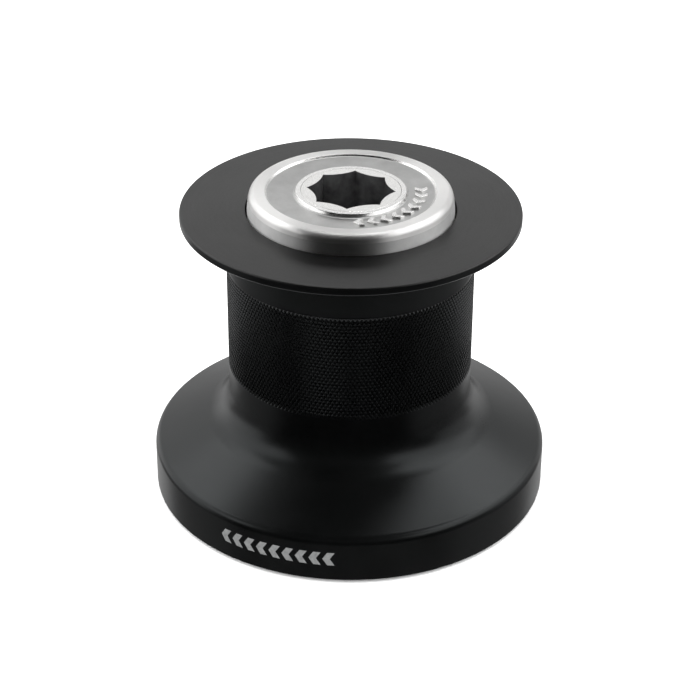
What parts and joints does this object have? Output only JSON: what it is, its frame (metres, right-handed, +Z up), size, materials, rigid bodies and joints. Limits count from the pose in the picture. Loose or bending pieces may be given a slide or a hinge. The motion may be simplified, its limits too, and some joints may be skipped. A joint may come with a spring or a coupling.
{
  "type": "sailboat winch",
  "caption": "Small plain-top sailboat winch: black drum with a flat rope flange, knurled waist and flared skirt, and a bright cap with an eight-point handle socket.",
  "frame": {"origin": "centre of the base's underside, on the deck", "axes": "+Z up along the drum's axis; the handle socket has points on +X and +Y, and the lock pawls swing about axes at +X and -X"},
  "size_m": [0.116, 0.116, 0.0936],
  "materials": {
    "black_anodised": "satin black hard anodised, machined",
    "cast_base": "cast, black anodised",
    "stem_alloy": "machined, grey hard anodised",
    "polished_cap": "polished, with a dull cast ring",
    "polished_spindle": "turned stainless steel",
    "hard_steel": "hardened stainless steel",
    "spring_steel": "spring steel",
    "roller_steel": "ground stainless steel",
    "stainless": "plain stainless steel",
    "acetal": "white acetal",
    "cage_nylon": "black nylon"
  },
  "bodies": {
    "base": {"base_plate": "cast_base", "centre_stem": "stem_alloy", "stem_screws": "stainless", "lower_spindle_bush": "acetal", "upper_spindle_bush": "acetal", "drum_thrust_washer": "acetal", "lower_bearing_washer": "stainless", "bearing_spacer": "acetal", "spindle_thrust_washer": "acetal", "lock_pawl_spring_1": "spring_steel", "lock_pawl_spring_2": "spring_steel"},
    "drum": {"drum": "black_anodised", "lock_ratchet_ring": "hard_steel", "drive_ratchet_ring": "hard_steel", "lock_ring_pins": "hard_steel", "drive_ring_pins": "hard_steel"},
    "spindle": {"main_spindle": "polished_spindle", "top_cap": "polished_cap", "cap_washer": "acetal", "spindle_washer": "acetal", "spindle_circlip": "spring_steel", "drive_pawl_spring_1": "spring_steel", "drive_pawl_spring_2": "spring_steel"},
    "lock_pawl_1": {"lock_pawl_1": "hard_steel"},
    "lock_pawl_2": {"lock_pawl_2": "hard_steel"},
    "drive_pawl_1": {"drive_pawl_1": "hard_steel"},
    "drive_pawl_2": {"drive_pawl_2": "hard_steel"},
    "lower_cage": {"lower_bearing_cage": "cage_nylon"},
    "lower_roller_01": {"lower_roller_01": "roller_steel"},
    "lower_roller_02": {"lower_roller_02": "roller_steel"},
    "lower_roller_03": {"lower_roller_03": "roller_steel"},
    "lower_roller_04": {"lower_roller_04": "roller_steel"},
    "lower_roller_05": {"lower_roller_05": "roller_steel"},
    "lower_roller_06": {"lower_roller_06": "roller_steel"},
    "lower_roller_07": {"lower_roller_07": "roller_steel"},
    "lower_roller_08": {"lower_roller_08": "roller_steel"},
    "lower_roller_09": {"lower_roller_09": "roller_steel"},
    "lower_roller_10": {"lower_roller_10": "roller_steel"},
    "upper_cage": {"upper_bearing_cage": "cage_nylon"},
    "upper_roller_01": {"upper_roller_01": "roller_steel"},
    "upper_roller_02": {"upper_roller_02": "roller_steel"},
    "upper_roller_03": {"upper_roller_03": "roller_steel"},
    "upper_roller_04": {"upper_roller_04": "roller_steel"},
    "upper_roller_05": {"upper_roller_05": "roller_steel"},
    "upper_roller_06": {"upper_roller_06": "roller_steel"},
    "upper_roller_07": {"upper_roller_07": "roller_steel"},
    "upper_roller_08": {"upper_roller_08": "roller_steel"},
    "upper_roller_09": {"upper_roller_09": "roller_steel"},
    "upper_roller_10": {"upper_roller_10": "roller_steel"}
  },
  "joints": [
    {"name": "drum_turn", "type": "hinge", "parent": "base", "child": "drum", "pos_m": [0, 0, 0.05], "axis": [0, 0, 1], "continuous": true},
    {"name": "spindle_ratchet", "type": "hinge", "parent": "drum", "child": "spindle", "pos_m": [0, 0, 0.05], "axis": [0, 0, 1], "continuous": true},
    {"name": "lock_pawl_1_swing", "type": "hinge", "parent": "base", "child": "lock_pawl_1", "pos_m": [0.0262, 0, 0.0141], "axis": [0, 0, -1], "range_deg": [-9.8, 6], "stiffness_Nm_per_rad": 0.004, "springref_deg": -34.38, "deforming": ["lock_pawl_spring_1"]},
    {"name": "lock_pawl_2_swing", "type": "hinge", "parent": "base", "child": "lock_pawl_2", "pos_m": [-0.0262, 0, 0.0141], "axis": [0, 0, -1], "range_deg": [-9.8, 6], "stiffness_Nm_per_rad": 0.004, "springref_deg": -34.38, "deforming": ["lock_pawl_spring_2"]},
    {"name": "drive_pawl_1_swing", "type": "hinge", "parent": "spindle", "child": "drive_pawl_1", "pos_m": [0.022, 0, 0.0746], "axis": [0, 0, -1], "range_deg": [0, 16.7], "stiffness_Nm_per_rad": 0.003, "springref_deg": -34.38, "deforming": ["drive_pawl_spring_1"]},
    {"name": "drive_pawl_2_swing", "type": "hinge", "parent": "spindle", "child": "drive_pawl_2", "pos_m": [-0.022, 0, 0.0746], "axis": [0, 0, -1], "range_deg": [0, 16.7], "stiffness_Nm_per_rad": 0.003, "springref_deg": -34.38, "deforming": ["drive_pawl_spring_2"]},
    {"name": "lower_cage_turn", "type": "hinge", "parent": "base", "child": "lower_cage", "pos_m": [0, 0, 0.0279], "axis": [0, 0, 1], "continuous": true},
    {"name": "lower_roller_01_spin", "type": "hinge", "parent": "lower_cage", "child": "lower_roller_01", "pos_m": [0.027, 0, 0.0279], "axis": [0, 0, 1], "continuous": true},
    {"name": "lower_roller_02_spin", "type": "hinge", "parent": "lower_cage", "child": "lower_roller_02", "pos_m": [0.02184, 0.01587, 0.0279], "axis": [0, 0, 1], "continuous": true},
    {"name": "lower_roller_03_spin", "type": "hinge", "parent": "lower_cage", "child": "lower_roller_03", "pos_m": [0.00834, 0.02568, 0.0279], "axis": [0, 0, 1], "continuous": true},
    {"name": "lower_roller_04_spin", "type": "hinge", "parent": "lower_cage", "child": "lower_roller_04", "pos_m": [-0.00834, 0.02568, 0.0279], "axis": [0, 0, 1], "continuous": true},
    {"name": "lower_roller_05_spin", "type": "hinge", "parent": "lower_cage", "child": "lower_roller_05", "pos_m": [-0.02184, 0.01587, 0.0279], "axis": [0, 0, 1], "continuous": true},
    {"name": "lower_roller_06_spin", "type": "hinge", "parent": "lower_cage", "child": "lower_roller_06", "pos_m": [-0.027, 0, 0.0279], "axis": [0, 0, 1], "continuous": true},
    {"name": "lower_roller_07_spin", "type": "hinge", "parent": "lower_cage", "child": "lower_roller_07", "pos_m": [-0.02184, -0.01587, 0.0279], "axis": [0, 0, 1], "continuous": true},
    {"name": "lower_roller_08_spin", "type": "hinge", "parent": "lower_cage", "child": "lower_roller_08", "pos_m": [-0.00834, -0.02568, 0.0279], "axis": [0, 0, 1], "continuous": true},
    {"name": "lower_roller_09_spin", "type": "hinge", "parent": "lower_cage", "child": "lower_roller_09", "pos_m": [0.00834, -0.02568, 0.0279], "axis": [0, 0, 1], "continuous": true},
    {"name": "lower_roller_10_spin", "type": "hinge", "parent": "lower_cage", "child": "lower_roller_10", "pos_m": [0.02184, -0.01587, 0.0279], "axis": [0, 0, 1], "continuous": true},
    {"name": "upper_cage_turn", "type": "hinge", "parent": "base", "child": "upper_cage", "pos_m": [0, 0, 0.0579], "axis": [0, 0, 1], "continuous": true},
    {"name": "upper_roller_01_spin", "type": "hinge", "parent": "upper_cage", "child": "upper_roller_01", "pos_m": [0.02568, 0.00834, 0.0579], "axis": [0, 0, 1], "continuous": true},
    {"name": "upper_roller_02_spin", "type": "hinge", "parent": "upper_cage", "child": "upper_roller_02", "pos_m": [0.01587, 0.02184, 0.0579], "axis": [0, 0, 1], "continuous": true},
    {"name": "upper_roller_03_spin", "type": "hinge", "parent": "upper_cage", "child": "upper_roller_03", "pos_m": [0, 0.027, 0.0579], "axis": [0, 0, 1], "continuous": true},
    {"name": "upper_roller_04_spin", "type": "hinge", "parent": "upper_cage", "child": "upper_roller_04", "pos_m": [-0.01587, 0.02184, 0.0579], "axis": [0, 0, 1], "continuous": true},
    {"name": "upper_roller_05_spin", "type": "hinge", "parent": "upper_cage", "child": "upper_roller_05", "pos_m": [-0.02568, 0.00834, 0.0579], "axis": [0, 0, 1], "continuous": true},
    {"name": "upper_roller_06_spin", "type": "hinge", "parent": "upper_cage", "child": "upper_roller_06", "pos_m": [-0.02568, -0.00834, 0.0579], "axis": [0, 0, 1], "continuous": true},
    {"name": "upper_roller_07_spin", "type": "hinge", "parent": "upper_cage", "child": "upper_roller_07", "pos_m": [-0.01587, -0.02184, 0.0579], "axis": [0, 0, 1], "continuous": true},
    {"name": "upper_roller_08_spin", "type": "hinge", "parent": "upper_cage", "child": "upper_roller_08", "pos_m": [0, -0.027, 0.0579], "axis": [0, 0, 1], "continuous": true},
    {"name": "upper_roller_09_spin", "type": "hinge", "parent": "upper_cage", "child": "upper_roller_09", "pos_m": [0.01587, -0.02184, 0.0579], "axis": [0, 0, 1], "continuous": true},
    {"name": "upper_roller_10_spin", "type": "hinge", "parent": "upper_cage", "child": "upper_roller_10", "pos_m": [0.02568, -0.00834, 0.0579], "axis": [0, 0, 1], "continuous": true}
  ],
  "couplings": [
    {"joint": "lower_cage_turn", "follows": "drum_turn", "ratio": 0.55556},
    {"joint": "lower_roller_01_spin", "follows": "drum_turn", "ratio": 4.4444},
    {"joint": "lower_roller_02_spin", "follows": "drum_turn", "ratio": 4.4444},
    {"joint": "lower_roller_03_spin", "follows": "drum_turn", "ratio": 4.4444},
    {"joint": "lower_roller_04_spin", "follows": "drum_turn", "ratio": 4.4444},
    {"joint": "lower_roller_05_spin", "follows": "drum_turn", "ratio": 4.4444},
    {"joint": "lower_roller_06_spin", "follows": "drum_turn", "ratio": 4.4444},
    {"joint": "lower_roller_07_spin", "follows": "drum_turn", "ratio": 4.4444},
    {"joint": "lower_roller_08_spin", "follows": "drum_turn", "ratio": 4.4444},
    {"joint": "lower_roller_09_spin", "follows": "drum_turn", "ratio": 4.4444},
    {"joint": "lower_roller_10_spin", "follows": "drum_turn", "ratio": 4.4444},
    {"joint": "upper_cage_turn", "follows": "drum_turn", "ratio": 0.55556},
    {"joint": "upper_roller_01_spin", "follows": "drum_turn", "ratio": 4.4444},
    {"joint": "upper_roller_02_spin", "follows": "drum_turn", "ratio": 4.4444},
    {"joint": "upper_roller_03_spin", "follows": "drum_turn", "ratio": 4.4444},
    {"joint": "upper_roller_04_spin", "follows": "drum_turn", "ratio": 4.4444},
    {"joint": "upper_roller_05_spin", "follows": "drum_turn", "ratio": 4.4444},
    {"joint": "upper_roller_06_spin", "follows": "drum_turn", "ratio": 4.4444},
    {"joint": "upper_roller_07_spin", "follows": "drum_turn", "ratio": 4.4444},
    {"joint": "upper_roller_08_spin", "follows": "drum_turn", "ratio": 4.4444},
    {"joint": "upper_roller_09_spin", "follows": "drum_turn", "ratio": 4.4444},
    {"joint": "upper_roller_10_spin", "follows": "drum_turn", "ratio": 4.4444}
  ]
}
